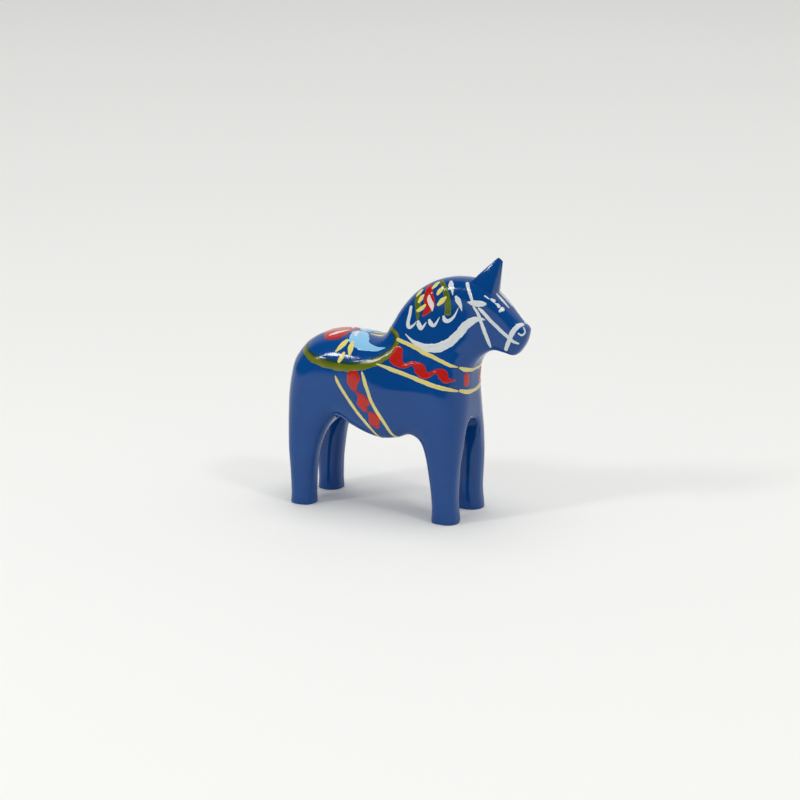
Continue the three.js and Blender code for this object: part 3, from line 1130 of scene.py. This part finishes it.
@dataclass
class Saddle:
    """Green border with a red flower, blue leaves and yellow sprigs inside it."""

    border: tuple[Row, ...] = (
        (1.4, 0, 47.3, 0.8), (3.3, -4.5, 48.4, 0.9), (5.2, -7.4, 47.9, 1.1), (5.3, -8.6, 46.3, 1.2),
        (4.3, -9.2, 44.7, 1.5), (2.5, -9.8, 43.2, 1.7), (0.4, -10.2, 41.8, 1.8),
        (-2.8, -10.6, 40.5, 1.9), (-7.1, -10.7, 39.6, 2.0), (-11.3, -10.7, 39.7, 1.9),
        (-14.8, -10.4, 40.2, 1.8), (-17.6, -9.8, 40.9, 1.6), (-19.7, -8.5, 41.8, 1.4),
        (-21.2, -6.2, 42.4, 1.2), (-21.3, -3.4, 43.3, 1.0), (-21, 0, 43.8, 0.9),
    )

    def paint(self, work: Decoration) -> None:
        """Paint the saddle.

        Args:
            work: the decoration it belongs to.
        """
        around = self.border + tuple((x, -y, z, r) for x, y, z, r in reversed(self.border[1:-1]))
        work.one("saddle_border", Stroke(Pot.BORDER, around, closed=True, feather=True))
        work.one("saddle_flower", Stroke(Pot.RED, mirrored((
            (-13.3, -5.4, 45.6, 2.7), (-13.4, -4.3, 46, 3.6), (-13.6, -2, 46.3, 4.2),
            (-13.7, 0, 46.4, 4.3))), blunt=0.45))
        work.both({
            "saddle_comma": Stroke(Pot.SKY, (
                (-7.2, -1.9, 46.1, 2.2), (-6.1, -4.7, 45.8, 2.8), (-4.5, -6.5, 45, 2.3),
                (-2.2, -7.5, 44.6, 1.25), (0.4, -8.1, 44.6, 0.7), (2.4, -8.4, 45.1, 0.15)), 1, blunt=0.8),
            "saddle_leaf_front": Stroke(Pot.LEMON, (
                (-7.0, -6.6, 45.3, 0.35), (-7.0, -7.9, 44.6, 0.8), (-6.8, -9.2, 43.4, 0.65),
                (-6.5, -10.1, 41.9, 0.15)), 2),
            "saddle_leaf_middle": Stroke(Pot.LEMON, (
                (-8.8, -6.7, 45.5, 0.55), (-9.3, -7.7, 44.9, 0.8), (-9.9, -8.7, 44.1, 0.7),
                (-10.7, -9.7, 43, 0.3)), 2),
            "saddle_leaf_rear": Stroke(Pot.LEMON, (
                (-8.4, -9.8, 42.8, 0.4), (-8.7, -10.3, 41.8, 0.75), (-9.3, -10.7, 40.3, 0.45)), 2),
        })
        work.cluster("saddle_lights", (
            Stroke(Pot.PINK_WHITE, ((-14.9, -5.0, 45.8, 0.3), (-13.3, -3.9, 46.2, 0.75),
                (-11.7, -2.6, 46.4, 0.6), (-10.7, -1.1, 46.5, 0.25)), 1),
            Stroke(Pot.PINK_WHITE, ((-7.9, -0.9, 46.3, 0.4), (-7.9, -2.8, 46.2, 0.7),
                (-7.2, -4.4, 45.9, 0.25)), 2),
            Stroke(Pot.YELLOW, ((-4.6, -0.9, 46.2, 0.2), (-2.9, -1.4, 46.1, 0.45),
                (-1.1, -2.3, 46.1, 0.4), (0.3, -3.3, 46.3, 0.15)), 0),
        ))


@dataclass
class Collar:
    """Two yellow lines round the chest with a red wave between them."""

    def paint(self, work: Decoration) -> None:
        """Paint the collar.

        Args:
            work: the decoration it belongs to.
        """
        work.both({
            "collar_upper": Stroke(Pot.YELLOW, (
                (6, -8.2, 47.2, 0.5), (9.1, -8.7, 46.3, 0.55), (13.6, -9.1, 45, 0.6),
                (18, -9.5, 43.7, 0.52), (22, -9.2, 42.1, 0.45), (23.8, -7.6, 41.3, 0.12)), 1),
            "collar_lower": Stroke(Pot.YELLOW, (
                (1.3, -10.5, 40.9, 0.2), (5.8, -10.6, 39.8, 0.55), (10.1, -10.7, 38.8, 0.52),
                (14.4, -10.8, 37.6, 0.6), (18.6, -10.8, 36.6, 0.6), (22, -9.1, 35.7, 0.5),
                (23.5, -7.2, 35.1, 0.25)), 1),
            "collar_wave": Stroke(Pot.RED, (
                (6.5, -9.3, 44.5, 1.6), (6.5, -9.8, 43, 2.0), (7.8, -10.2, 41.6, 1.2),
                (9.3, -10.2, 41.2, 0.7), (10.9, -10, 42, 0.6), (12.4, -10.1, 41.6, 1.1),
                (13.6, -10.3, 40.7, 1.6), (14.9, -10.6, 39.5, 1.3), (16.3, -10.6, 39.5, 0.7),
                (17.6, -10.4, 40.4, 0.6), (19.2, -10.2, 40.5, 1.0), (20.3, -10.1, 39.7, 1.4),
                (21.2, -9.7, 38.4, 1.1), (22.2, -8.9, 38.1, 0.5), (23.1, -7.9, 38, 0.2)), 0),
            "chest_dab": Stroke(Pot.RED, ((24.7, -4.4, 38.3, 1.15), (24.5, -4.1, 36.9, 1.25)), 0),
        })
        work.one("collar_upper_front", Stroke(Pot.YELLOW, mirrored((
            (24.2, -7, 41, 0.35), (24.8, -5.2, 40.4, 0.65), (25.1, -2.4, 39.9, 0.5),
            (25.2, 0, 39.8, 0.45)))))
        work.one("collar_lower_front", Stroke(Pot.YELLOW, mirrored((
            (23.8, -6.5, 35.1, 0.4), (24.5, -3.9, 34.3, 0.65), (24.6, 0, 33.9, 0.5)))))


@dataclass
class Girth:
    """Two yellow lines and a run of red dabs from the saddle to the belly."""

    def paint(self, work: Decoration) -> None:
        """Paint the girth.

        Args:
            work: the decoration it belongs to.
        """
        work.both({
            "girth_rear": Stroke(Pot.YELLOW, (
                (-10.1, -10.9, 36.3, 0.15), (-9.4, -10.9, 34.8, 0.45), (-7.4, -10.9, 32, 0.45),
                (-5.7, -10.9, 29.8, 0.45), (-3.7, -10.9, 27.4, 0.45), (-1.7, -10.8, 25.2, 0.42),
                (0.2, -10.5, 23.2, 0.4), (1.5, -9.6, 21.6, 0.36), (2.4, -7.6, 20.6, 0.3)), 0),
            "girth_front": Stroke(Pot.YELLOW, (
                (-2.4, -10.9, 38, 0.3), (-1.7, -10.9, 36.1, 0.55), (-0.7, -10.9, 33.6, 0.52),
                (0.7, -10.9, 30.3, 0.5), (2.7, -10.9, 27.3, 0.52), (4.4, -10.9, 25.1, 0.48),
                (5.9, -9.9, 22.4, 0.42), (6.9, -7.6, 20.9, 0.3)), 0),
            "girth_dabs": Stroke(Pot.RED, (
                (-4.9, -10.9, 36.4, 2.0), (-4.9, -10.9, 35.2, 1.8), (-4.4, -10.9, 33.4, 0.75),
                (-3.6, -10.9, 32.5, 0.3), (-2.5, -10.9, 31.4, 1.2), (-1.9, -10.9, 30, 2.0),
                (-1.5, -10.9, 28.6, 1.0), (-0.5, -10.9, 27.9, 0.2), (0.4, -10.9, 27, 0.95),
                (1.3, -10.9, 25.8, 1.85), (2, -10.8, 24.3, 0.85)), 1),
        })


@dataclass
class Mane:
    """A red flower between green leaves on the crest, edged with white commas."""

    def paint(self, work: Decoration) -> None:
        """Paint the mane.

        Args:
            work: the decoration it belongs to.
        """
        work.both({
            "mane_leaf_rear": Stroke(Pot.LEAF, (
                (10.5, -3.6, 58.3, 0.7), (10.6, -4.6, 57, 1.0), (11, -5.6, 55.2, 0.85),
                (11.3, -6.4, 52.4, 0.3))),
            "mane_leaf_front": Stroke(Pot.LEAF, (
                (16.4, -2.2, 62.1, 0.6), (18.2, -4.2, 60.7, 0.8), (19.3, -5.2, 58, 0.95),
                (19.6, -5.8, 54.5, 0.95)), blunt=0.4),
            "mane_petal": Stroke(Pot.RED, (
                (12.9, -2.1, 61, 0.35), (13.4, -3.7, 59.9, 1.1), (14.1, -4.9, 57.8, 1.7),
                (14.4, -5.5, 56.1, 1.35), (13.6, -5.9, 54.6, 0.8), (12.7, -6.2, 53.5, 0.25)), 0),
            "mane_sweep": Stroke(Pot.WHITE, (
                (8.1, -7.8, 48.7, 0.1), (9.8, -8.3, 47.5, 0.35), (11.9, -8.6, 46.5, 0.7),
                (14.9, -8.8, 45.9, 1.1), (17.9, -8.7, 46.3, 1.3), (20.7, -8.2, 47.8, 1.25),
                (23.1, -7.2, 50, 1.2), (25, -6.1, 52.3, 1.15), (26.7, -5.4, 53.5, 0.9),
                (28.4, -4.9, 54, 0.55), (29.6, -4.6, 53.8, 0.12)), 0),
        })
        work.cluster("mane_petals_yellow", (
            Stroke(Pot.LEMON, ((11.3, -2.9, 59.5, 0.3), (10.7, -3.2, 58.8, 0.6),
                (10.1, -3.6, 58, 0.35)), 2),
            Stroke(Pot.LEMON, ((12.2, -4.2, 58.5, 0.3), (11.6, -4.5, 57.7, 0.65),
                (11.1, -4.8, 56.7, 0.4)), 2),
            Stroke(Pot.LEMON, ((13.2, -5.4, 56.3, 0.3), (12.2, -5.6, 55.4, 0.6), (11, -5.8, 54.6, 0.4)), 2),
            Stroke(Pot.LEMON, ((15.9, -2.6, 61.9, 0.3), (15.3, -3.1, 61.3, 0.65),
                (14.6, -3.7, 60.5, 0.4)), 2),
            Stroke(Pot.LEMON, ((17.7, -3.9, 61.1, 0.3), (17, -4.3, 60.2, 0.65),
                (16.4, -4.6, 59.3, 0.4)), 2),
            Stroke(Pot.LEMON, ((18.9, -5, 58.8, 0.3), (17.9, -5.2, 57.8, 0.7), (16.8, -5.4, 56.7, 0.4)), 2),
            Stroke(Pot.PINK_WHITE, ((14, -4.6, 58.7, 0.3), (14.2, -4.9, 57.7, 0.75),
                (14.9, -5.4, 56.4, 0.8), (15.2, -5.7, 55.3, 0.3), (15.2, -5.8, 54.9, 0.1)), 2),
        ))
        work.cluster("mane_commas_white", (
            Stroke(Pot.WHITE, ((8.8, -4.9, 55.2, 0.5), (8.7, -5.8, 53.6, 0.55), (8.5, -6.5, 51.8, 0.55),
                (8.7, -7.1, 50.7, 0.65), (9.5, -7.1, 50.4, 0.4), (10.6, -6.8, 51.4, 0.2),
                (11, -6.6, 52.1, 0.06)), 0),
            Stroke(Pot.WHITE, ((11.5, -6.7, 52, 0.4), (11.8, -6.9, 51.2, 0.7), (12.4, -7.3, 50.4, 0.55),
                (13.1, -7, 51, 0.35), (13.8, -6.6, 52.1, 0.08)), 1),
            Stroke(Pot.WHITE, ((14.6, -6.5, 52.6, 0.4), (15, -6.7, 51.9, 0.65), (15.8, -6.9, 51.4, 0.5),
                (16.5, -6.7, 52, 0.35), (17.4, -6.1, 53.7, 0.07)), 0),
            Stroke(Pot.WHITE, ((18.5, -6.1, 53.8, 0.4), (18.9, -6.3, 53.1, 0.62),
                (19.9, -6.4, 52.9, 0.5), (21.1, -6.1, 53.8, 0.38), (22, -5.7, 55.3, 0.2),
                (22.5, -5.4, 56.5, 0.06)), 1),
            Stroke(Pot.WHITE, ((19.3, -2.9, 62.4, 0.4), (19.7, -3.7, 61.7, 0.8),
                (20.3, -4.3, 60.8, 0.5), (20.7, -4.8, 59.4, 0.1)), 0),
            Stroke(Pot.WHITE, ((21.7, -4.9, 59, 0.45), (22.2, -5.1, 58.3, 0.85),
                (22.9, -5.3, 57.2, 0.55), (23.5, -5.5, 55.7, 0.1)), 0),
        ))


@dataclass
class Bridle:
    """White bridle lines, a rosette, the eye's three dots and the nostril."""

    def paint(self, work: Decoration) -> None:
        """Paint the bridle.

        Args:
            work: the decoration it belongs to.
        """
        work.both({
            "bridle_crown": Stroke(Pot.WHITE, ((23.9, -3, 62.4, 0.45), (25, -4.3, 60.8, 0.48),
                (26.1, -4.9, 58.7, 0.38))),
            "bridle_cheek": Stroke(Pot.WHITE, (
                (26.6, -5.1, 57, 0.33), (27.9, -5.1, 55.2, 0.42), (28.6, -4.9, 53.2, 0.46),
                (29.5, -4.3, 50.4, 0.52), (30.4, -3.4, 47.3, 0.42), (30.5, -3.0, 46.4, 0.2))),
            "bridle_nose": Stroke(Pot.WHITE, (
                (38.5, -0.9, 52.9, 0.5), (37.9, -2.1, 52.6, 0.65), (37, -3.1, 51.6, 0.68),
                (36.3, -3.4, 50.2, 0.66), (35.6, -3.4, 48.4, 0.6), (34.8, -2.8, 46.4, 0.52)), 1),
            "bridle_rein": Stroke(Pot.WHITE, (
                (28, -5, 56.7, 0.3), (28.9, -4.9, 56, 0.5), (31.1, -4.3, 53.6, 0.52),
                (33.4, -3.7, 51.4, 0.52), (35.5, -3.4, 49.6, 0.5), (36.8, -3.3, 48.7, 0.45),
                (38, -2.6, 48.1, 0.25))),
            "bridle_rosette": Stroke(Pot.WHITE, (
                (24.9, -5.1, 58, 0.12), (26, -5, 57.9, 0.62), (27.5, -5, 57.9, 0.85),
                (29, -4.8, 57.9, 0.7), (29.6, -4.6, 57.9, 0.4)), 1),
            "bridle_brow": Stroke(Pot.WHITE, ((30.6, -0.8, 60.4, 0.2), (32, -1.1, 59.3, 0.5),
                (33.3, -1.1, 58.1, 0.5), (34.6, -1.1, 56.7, 0.18))),
        })
        work.cluster("eye_and_nostril", (
            Stroke(Pot.WHITE, ((30.9, -3.6, 59, 0.38), (31.5, -3.4, 58.7, 0.5)), 0),
            Stroke(Pot.WHITE, ((32.5, -3.3, 57.8, 0.4), (32.8, -3.3, 57.4, 0.52)), 0),
            Stroke(Pot.WHITE, ((33.2, -3.6, 56.2, 0.35), (33.7, -3.1, 56.7, 0.68)), 0),
            Stroke(Pot.WHITE, ((29.2, -3.9, 59.8, 0.22), (30.3, -3.9, 59.2, 0.2)), 0),
            Stroke(Pot.WHITE, ((38.1, -2.9, 50.8, 0.22), (38.9, -2.5, 50.3, 0.26),
                (39.3, -1.8, 51, 0.26), (38.9, -1.6, 52.1, 0.2)), 1),
        ))


# --------------------------------------------------------------------------- studio


@dataclass
class Studio:
    """A pale floor, soft lights and the camera."""

    azimuth: float = 26.0
    elevation: float = 14.5
    distance: float = 0.600
    lens: float = 103.0
    target: tuple[float, float, float] = (-0.00328, 0.0, 0.02886)
    floor_size: float = 12.0
    dome: tuple[float, float, float] = (0.52, 0.52, 0.512)
    floor_colour: tuple[float, float, float] = (0.90, 0.905, 0.885)

    def back(self) -> np.ndarray:
        """Unit direction from the horse to the camera."""
        a, e = math.radians(self.azimuth), math.radians(self.elevation)
        return np.array([math.sin(a) * math.cos(e), -math.cos(a) * math.cos(e), math.sin(e)])

    def build(self) -> None:
        """Set up the floor, camera, world and lights."""
        self._floor()
        self._camera()
        self._world()
        self._softbox("left", (-0.477, -0.642, 0.600), 0.80, (0.10, 0.13), 1.1, True)
        self._softbox("right", (0.62, -0.25, 0.72), 0.80, (0.09, 0.09), 0.7, True)
        self._softbox("top", (0.0, 0.1, 1.0), 3.0, (2.2, 2.2), 36.0, False)

    def _floor(self) -> None:
        """Lay the pale floor."""
        deselect()
        bpy.ops.mesh.primitive_plane_add(size=self.floor_size)
        floor = bpy.context.active_object
        floor.name = "floor"
        material, n, shader = new_material("floor_pale")
        speck = n.add("TexNoise")
        speck.inputs["Scale"].default_value = 4.0
        n.link(n.add("TexCoord").outputs["Object"], speck.inputs["Vector"])
        dim = tuple(c * 0.985 for c in self.floor_colour)
        n.link(n.blend(speck.outputs["Fac"], self.floor_colour, dim), shader.inputs["Base Color"])
        shader.inputs["Roughness"].default_value = 0.7
        shader.inputs["Specular IOR Level"].default_value = 0.2
        floor.data.materials.append(material)

    def _camera(self) -> None:
        """Place the camera."""
        data = bpy.data.cameras.new("camera")
        data.lens = self.lens
        data.sensor_width = 36.0
        data.clip_start = 0.01
        camera = bpy.data.objects.new("camera", data)
        bpy.context.scene.collection.objects.link(camera)
        place = np.array(self.target) + self.back() * self.distance
        camera.location = place
        camera.rotation_euler = (math.radians(90 - self.elevation), 0, math.radians(self.azimuth))
        bpy.context.scene.camera = camera

    def _world(self) -> None:
        """Pale backdrop; the varnish mirrors a dark room in front and a white one behind."""
        world = bpy.data.worlds.new("studio")
        bpy.context.scene.world = world
        world.use_nodes = True
        n = Nodes(world.node_tree)
        shade = world.node_tree.nodes["Background"]
        heading = n.add("SeparateXYZ")
        n.link(n.add("TexCoord").outputs["Generated"], heading.inputs[0])
        behind = n.span(heading.outputs["Y"], -0.05, 0.35)
        mirrored = n.blend(behind, (0.020, 0.024, 0.030), (0.80, 0.81, 0.80))
        path = n.add("LightPath")
        dome = n.blend(path.outputs["Is Glossy Ray"], self.dome, mirrored)
        n.link(n.blend(path.outputs["Is Camera Ray"], dome, (0.86, 0.86, 0.83)), shade.inputs["Color"])
        shade.inputs["Strength"].default_value = 1.0

    def _softbox(self, name: str, toward: tuple[float, float, float], distance: float,
                 size: tuple[float, float], power: float, mirrored_in_gloss: bool) -> None:
        """Hang a soft light that faces the horse.

        Args:
            name: its name.
            toward: direction from the horse.
            distance: how far away.
            size: width and height.
            power: watts.
            mirrored_in_gloss: whether the varnish mirrors it.
        """
        data = bpy.data.lights.new(name, "AREA")
        data.shape = "RECTANGLE"
        data.size, data.size_y = size
        data.energy = power
        lamp = bpy.data.objects.new(name, data)
        bpy.context.scene.collection.objects.link(lamp)
        way = np.array(toward) / np.linalg.norm(toward)
        lamp.location = np.array([0.0, 0.0, 0.04]) + way * distance
        lamp.rotation_euler = Vector(way).to_track_quat("Z", "Y").to_euler()
        lamp.visible_glossy = mirrored_in_gloss


def main() -> None:
    """Build the horse, its decoration and the studio."""
    logging.basicConfig(level=logging.INFO, format="%(message)s")
    bpy.context.scene.view_settings.view_transform = "Standard"
    low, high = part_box("carved_horse")
    form = WhittledForm()
    placing = Placing(middle_x=6.74)
    kit = Kit()
    body = CarvedHorse(form, placing).build(kit)
    LOG.info("%s: %d faces in %.1f mm", body.name, len(body.data.polygons), (high[0] - low[0]) / MM)
    work = Decoration(Brush(form, placing), kit)
    for motif in (Saddle(), Collar(), Girth(), Mane(), Bridle()):
        motif.paint(work)
        LOG.info("%s done", type(motif).__name__)
    Studio().build()


if __name__ == "__main__":
    main()
